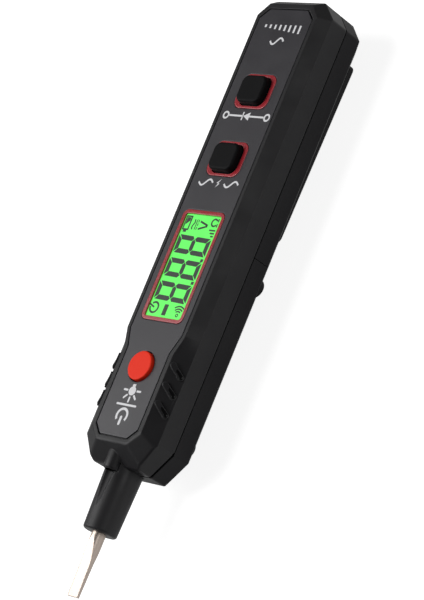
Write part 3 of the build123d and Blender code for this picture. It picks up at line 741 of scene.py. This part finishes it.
# every sign on the display, by its corners or by middle, radius, stroke and angles
signs = {
    "pointsAt": (0.15, 6.25),
    "point": (0.8, 0.9),
    "minus": (-8.75, -0.6, -5.8, 0.8),
    "powerRing": (-7.0, 4.2, 1.38, 0.52, 85, 405),
    "powerBar": (-6.9, 4.4, -6.3, 5.9, 0.46),
    "soundDot": (-8.25, -4.6, 0.36, 0.26, 0, fullTurn),
    "soundMiddle": (-8.35, -4.6),
    "soundStroke": 0.38,
    "soundWaves": ((1.15, 42), (1.8, 44), (2.5, 40)),  # radius and reach
    "battery": (14.15, 3.6, 18.1, 5.85),
    "batteryWall": 0.42,
    "batteryTip": (13.6, 4.15, 14.15, 5.3),
    "batteryLevel": ((15.6, 5.35), (17.6, 5.35), (17.6, 4.1), (16.7, 4.1)),
    "waveStart": (14.5, 2.45),
    "waveStep": 0.115,
    "waveHeight": 0.24,
    "waveTurn": 0.26,
    "wavePoints": 25,
    "waveStroke": 0.38,
    "longDash": (14.5, 1.45, 17.3, 1.72),
    "dashesAt": (14.5, 15.5, 16.5),
    "dash": (0.75, 0.85, 1.12),  # length, low and high side
    "voltStrokes": (((14.75, 0.35), (15.75, -2.55)), ((16.85, 0.35), (15.95, -2.55))),
    "voltWidth": 0.52,
    "ohmRing": (16.9, -4.55, 0.95, 0.46, -55, 235),
    "ohmFeet": ((15.75, -5.85, 16.65, -5.5), (17.15, -5.85, 18.05, -5.5)),
    "levels": 3,
    "levelStart": (13.0, -5.85),
    "levelStep": (0.8, 0.6),
    "levelSize": (0.42, 0.95),
}


def digitOutlines(x0, y0, width, height, stroke, gap, slant):
    half = height / 2
    cut = stroke * 0.5
    x1, y1, ym = x0 + width, y0 + height, y0 + half
    flat = [
        [(x0 + gap * 2, y1), (x1 - gap * 2, y1), (x1 - stroke, y1 - stroke), (x0 + stroke, y1 - stroke)],
        [(x0 + gap * 2, y0), (x1 - gap * 2, y0), (x1 - stroke, y0 + stroke), (x0 + stroke, y0 + stroke)],
        [
            (x0 + cut + gap, ym),
            (x0 + stroke + gap, ym + cut),
            (x1 - stroke - gap, ym + cut),
            (x1 - cut - gap, ym),
            (x1 - stroke - gap, ym - cut),
            (x0 + stroke + gap, ym - cut),
        ],
    ]
    for side in (-1, 1):
        for up in (-1, 1):
            edge = x0 if side < 0 else x1
            far = y1 if up > 0 else y0
            inner = edge - side * stroke
            flat.append(
                [
                    (edge, far - up * gap * 3),
                    (inner, far - up * (stroke + gap)),
                    (inner, ym + up * (cut + gap)),
                    (edge - side * cut, ym + up * gap),
                    (edge, ym + up * (cut + gap)),
                ]
            )
    return [[(x + (y - y0) * slant, y) for x, y in outline] for outline in flat]


def batterySign():
    x0, y0, x1, y1 = signs["battery"]
    wall = signs["batteryWall"]
    boxes = (
        (x0, y0, x1, y0 + wall),
        (x0, y1 - wall, x1, y1),
        (x0, y0 + wall, x0 + wall, y1 - wall),
        (x1 - wall, y0 + wall, x1, y1 - wall),
        signs["batteryTip"],
    )
    return [boxShape(*box) for box in boxes] + [list(signs["batteryLevel"])]


def waveSign():
    x0, y0 = signs["waveStart"]
    points = []
    for step in range(signs["wavePoints"]):
        rise = signs["waveHeight"] * math.sin(step * signs["waveTurn"])
        points.append((x0 + signs["waveStep"] * step, y0 + rise))
    return pathShape(points, signs["waveStroke"])


def levelBars():
    x0, y0 = signs["levelStart"]
    width, height = signs["levelSize"]
    across, up = signs["levelStep"]
    bars = []
    for step in range(signs["levels"]):
        x = x0 + step * across
        bars.append(boxShape(x, y0, x + width, y0 + height + step * up))
    return bars


def displayInk():
    outlines = []
    size = [display[label] for label in ("digitWidth", "digitHeight", "stroke", "gap", "digitSlant")]
    for x in display["digitsAt"]:
        outlines += digitOutlines(x, display["digitFoot"], *size)
    wide, high = signs["point"]
    for x in signs["pointsAt"]:
        outlines.append(boxShape(x, display["digitFoot"], x + wide, display["digitFoot"] + high))
    outlines.append(boxShape(*signs["minus"]))
    outlines.append(arcShape(*signs["powerRing"]))
    outlines.append(barShape(*signs["powerBar"]))
    outlines.append(arcShape(*signs["soundDot"]))
    for radius, reach in signs["soundWaves"]:
        outlines.append(arcShape(*signs["soundMiddle"], radius, signs["soundStroke"], -reach, reach))
    outlines += batterySign()
    outlines.append(waveSign())
    outlines.append(boxShape(*signs["longDash"]))
    length, low, top = signs["dash"]
    for x in signs["dashesAt"]:
        outlines.append(boxShape(x, low, x + length, top))
    for stroke in signs["voltStrokes"]:
        outlines.append(pathShape(stroke, signs["voltWidth"]))
    outlines.append(arcShape(*signs["ohmRing"]))
    for foot in signs["ohmFeet"]:
        outlines.append(boxShape(*foot))
    return outlines + levelBars()


def makeDisplay():
    margin = display["bezelBand"] + display["faceInset"]
    low, high = bezelLow / mm, bezelHigh / mm
    face = boxShape(low.x + margin, low.y + margin, high.x - margin, high.y - margin)
    z = lensTop + display["faceLift"]
    thickness = display["faceThickness"]
    makeFlat("display_face", [face], z, thickness, made["display_green"], "housing")
    z += thickness + display["inkLift"]
    dx, dy = display["shift"]
    ink = [[(x + dx, y + dy) for x, y in outline] for outline in displayInk()]
    thickness = display["inkThickness"]
    makeFlat("display_segments", ink, z, thickness, made["segment_ink"], "housing")


makeDisplay()
print("display drawn")

# ---- panel print: plain signs in white paint ----
paint = {
    "lift": 0.002 * mm,
    "thickness": 0.018 * mm,
    "line": 0.5,
    "powerRing": (-35.55, -0.15, 1.78, 0.68, -128, 128),
    "powerBar": (-37.7, -0.15, -36.0, -0.15, 0.8),
    "divider": (-32.72, -3.5, -32.72, 3.1, 0.55),
    "lamp": (-29.0, -0.3),
    "lampRadius": 1.2,
    "lampNeck": (1.17, 1.8, 1.05),  # start, end and width
    "rays": (88, 134, 180, 226, 272),
    "ray": (1.75, 2.85, 0.55),
    "voltageX": 27.4,
    "voltageWaves": ((-7.3, -2.3), (1.7, 6.7)),
    "voltageHeight": 1.7,
    "bolt": ((-1.2, 0.35), (-0.1, -0.75), (0.05, -0.2), (1.25, -0.95), (0.1, 0.4), (-0.05, -0.2)),
    "connectX": 46.1,
    "ringsAt": (-7.6, 6.9),
    "ringRadius": 0.85,
    "leads": ((-6.45, -1.4), (1.05, 5.75)),
    "arrow": ((-1.15, -1.4), (1.15, -1.4), (0.0, 0.75)),
    "gate": (1.15, 0.95, 0.42),  # half length, place and width
    "alternating": (67.3, -2.4, 2.2, 1.8, 1),
    "bars": 8,
    "barsAt": (71.9, 71.1, 5.9),  # foot, shortest top and first place
    "barStep": (0.22, 1.75),
    "barWidth": 0.62,
}


def lampSigns():
    x, y = paint["lamp"]
    start, end, width = paint["lampNeck"]
    shapes = [
        arcShape(*paint["powerRing"]),
        barShape(*paint["powerBar"]),
        barShape(*paint["divider"]),
        discShape(x, y, paint["lampRadius"]),
        barShape(x + start, y, x + end, y, width, False),
    ]
    start, end, width = paint["ray"]
    for angle in paint["rays"]:
        dx, dy = math.cos(math.radians(angle)), math.sin(math.radians(angle))
        shapes.append(barShape(x + start * dx, y + start * dy, x + end * dx, y + end * dy, width))
    return shapes


# a bolt between two waves
def voltageSign():
    x, height, line = paint["voltageX"], paint["voltageHeight"], paint["line"]
    shapes = [waveShape(x, *ends, height, 1, line) for ends in paint["voltageWaves"]]
    return shapes + [[(x + across, y) for across, y in paint["bolt"]]]


# two rings joined through a diode sign
def connectSign():
    x, line = paint["connectX"], paint["line"]
    shapes = [arcShape(x, y, paint["ringRadius"], line, 0, fullTurn) for y in paint["ringsAt"]]
    shapes += [barShape(x, low, x, high, line, False) for low, high in paint["leads"]]
    half, y, width = paint["gate"]
    shapes.append([(x + across, along) for across, along in paint["arrow"]])
    return shapes + [barShape(x - half, y, x + half, y, width, False)]


# an alternating-current sign over a rising scale
def scaleSign():
    shapes = [waveShape(*paint["alternating"], paint["line"])]
    foot, top, place = paint["barsAt"]
    rise, across = paint["barStep"]
    for step in range(paint["bars"]):
        y = place - across * step
        shapes.append(barShape(foot, y, top - rise * step, y, paint["barWidth"], False))
    return shapes


panelSigns = lampSigns() + voltageSign() + connectSign() + scaleSign()
printZ, printDepth = panelTop + paint["lift"], paint["thickness"]
makeFlat("panel_print", panelSigns, printZ, printDepth, made["white_print"], "housing")
print("panel printed")


# ---- grip ribs on the battery cover, repeated by geometry nodes ----
coverGrip = {
    "count": 5,
    "spacing": 1.3 * mm,
    "length": 12.0 * mm,
    "radius": 0.3 * mm,
    "first": 1.7 * mm,
    "height": 3.0 * mm,  # the outer face of the cover
    "middle": 0.003 * mm,  # the ring of points that stays in the middle
}


# one rib: a low half-round bar across the cover
def ribMesh():
    mesh = bpy.data.meshes.new("cover_rib")
    rib = bmesh.new()
    radius, half = coverGrip["radius"], coverGrip["length"] / 2
    bmesh.ops.create_uvsphere(rib, u_segments=16, v_segments=10, radius=radius)
    for vert in rib.verts:
        if abs(vert.co.y) > coverGrip["middle"]:
            vert.co.y += math.copysign(half - radius, vert.co.y)
    for face in rib.faces:
        face.smooth = True
    rib.to_mesh(mesh)
    rib.free()
    return mesh


def makeCoverGrip():
    tree = spreadTree("coverRibRow", made["black_shell"])
    mesh = spreadOut(tree, ribMesh(), coverGrip["count"], coverGrip["spacing"])
    mesh.transform(Matrix.Translation((coverLow.x + coverGrip["first"], 0.0, coverGrip["height"])))
    addPiece("cover_grip_ribs", mesh, "battery_cover_body")


makeCoverGrip()
print("cover grip made")


# ---- floor, light and camera ----
studio = {
    "fill": 0.05,
    "floorHalf": 6.0,
    "floorDrop": 0.0002,
    "floorGrey": (0.5, 0.5, 0.5, 1.0),
    "floorGlow": 0.86,
    "bounceFront": 0.46,
    "bounceRear": 0.12,
    "bounceBand": 0.06,
    "white": (1.0, 1.0, 1.0, 1.0),
    "aim": (0.0, 0.0, 0.01),
    "lights": (
        ("rear", (-0.25, 0.85, 0.78), 1.0, 0.7, 6.5),
        ("front", (0.2, -0.95, 0.5), 0.7, 0.4, 2.2),
        ("top", (-0.15, 0.5, 1.1), 0.5, 0.5, 7.0),
    ),
    "cameraPlace": Vector((-148.93, -484.99, 450.79)) * mm,
    "cameraTarget": Vector((0.11, -4.52, 12.0)) * mm,
    "cameraRoll": 56.155,
    "cameraLens": 162.85,
    "cameraSensor": 36.0,
}


# the floor's even glow is for the camera; what it sends to the object falls off to the rear
def makeFloor():
    half, low = studio["floorHalf"], -studio["floorDrop"]
    mesh = bpy.data.meshes.new("floor")
    mesh.from_pydata([(x, y, low) for x, y in boxShape(-half, -half, half, half)], [], [(0, 1, 2, 3)])
    floor = bpy.data.objects.new("floor", mesh)
    bpy.context.scene.collection.objects.link(floor)
    material = bpy.data.materials.new("pale_floor")
    material.use_nodes = True
    tree = material.node_tree
    shader = tree.nodes["Principled BSDF"]
    path = tree.nodes.new("ShaderNodeLightPath")
    coords = tree.nodes.new("ShaderNodeTexCoord")
    split = tree.nodes.new("ShaderNodeSeparateXYZ")
    tree.links.new(coords.outputs["Object"], split.inputs[0])
    band = studio["bounceBand"]
    bounce = ramp(tree, split.outputs["Y"], -band, band, studio["bounceFront"], studio["bounceRear"])
    unseen = math2(tree, "SUBTRACT", 1.0, path.outputs["Is Camera Ray"])
    sent = math2(tree, "MULTIPLY", bounce, unseen)
    seen = math2(tree, "MULTIPLY", path.outputs["Is Camera Ray"], studio["floorGlow"])
    tree.links.new(math2(tree, "ADD", sent, seen), shader.inputs["Emission Strength"])
    shader.inputs["Base Color"].default_value = studio["floorGrey"]
    shader.inputs["Roughness"].default_value = 0.9
    shader.inputs["Specular IOR Level"].default_value = 0.1
    shader.inputs["Emission Color"].default_value = studio["white"]
    mesh.materials.append(material)


def areaLight(name, place, target, width, height, power):
    data = bpy.data.lights.new(name, "AREA")
    data.shape = "RECTANGLE"
    data.size, data.size_y = width, height
    data.energy = power
    light = bpy.data.objects.new(name, data)
    bpy.context.scene.collection.objects.link(light)
    light.location = place
    light.rotation_mode = "QUATERNION"
    light.rotation_quaternion = (Vector(target) - Vector(place)).to_track_quat("-Z", "Y")


def makeWorld():
    world = bpy.data.worlds.new("studio")
    bpy.context.scene.world = world
    world.use_nodes = True
    tree = world.node_tree
    path = tree.nodes.new("ShaderNodeLightPath")
    strength = ramp(tree, path.outputs["Is Camera Ray"], 0.0, 1.0, studio["fill"], 1.0)
    tree.links.new(strength, tree.nodes["Background"].inputs["Strength"])
    tree.nodes["Background"].inputs["Color"].default_value = studio["white"]


def makeCamera():
    data = bpy.data.cameras.new("camera")
    data.sensor_width = studio["cameraSensor"]
    data.lens = studio["cameraLens"]
    camera = bpy.data.objects.new("camera", data)
    bpy.context.scene.collection.objects.link(camera)
    camera.location = studio["cameraPlace"]
    facing = (studio["cameraTarget"] - studio["cameraPlace"]).to_track_quat("-Z", "Y")
    roll = Matrix.Rotation(math.radians(-studio["cameraRoll"]), 3, "Z").to_quaternion()
    camera.rotation_mode = "QUATERNION"
    camera.rotation_quaternion = facing @ roll
    bpy.context.scene.camera = camera


makeFloor()
makeWorld()
for name, place, width, height, power in studio["lights"]:
    areaLight(name, place, studio["aim"], width, height, power)
makeCamera()
bpy.context.scene.view_settings.view_transform = "Standard"
print("camera and lights set")
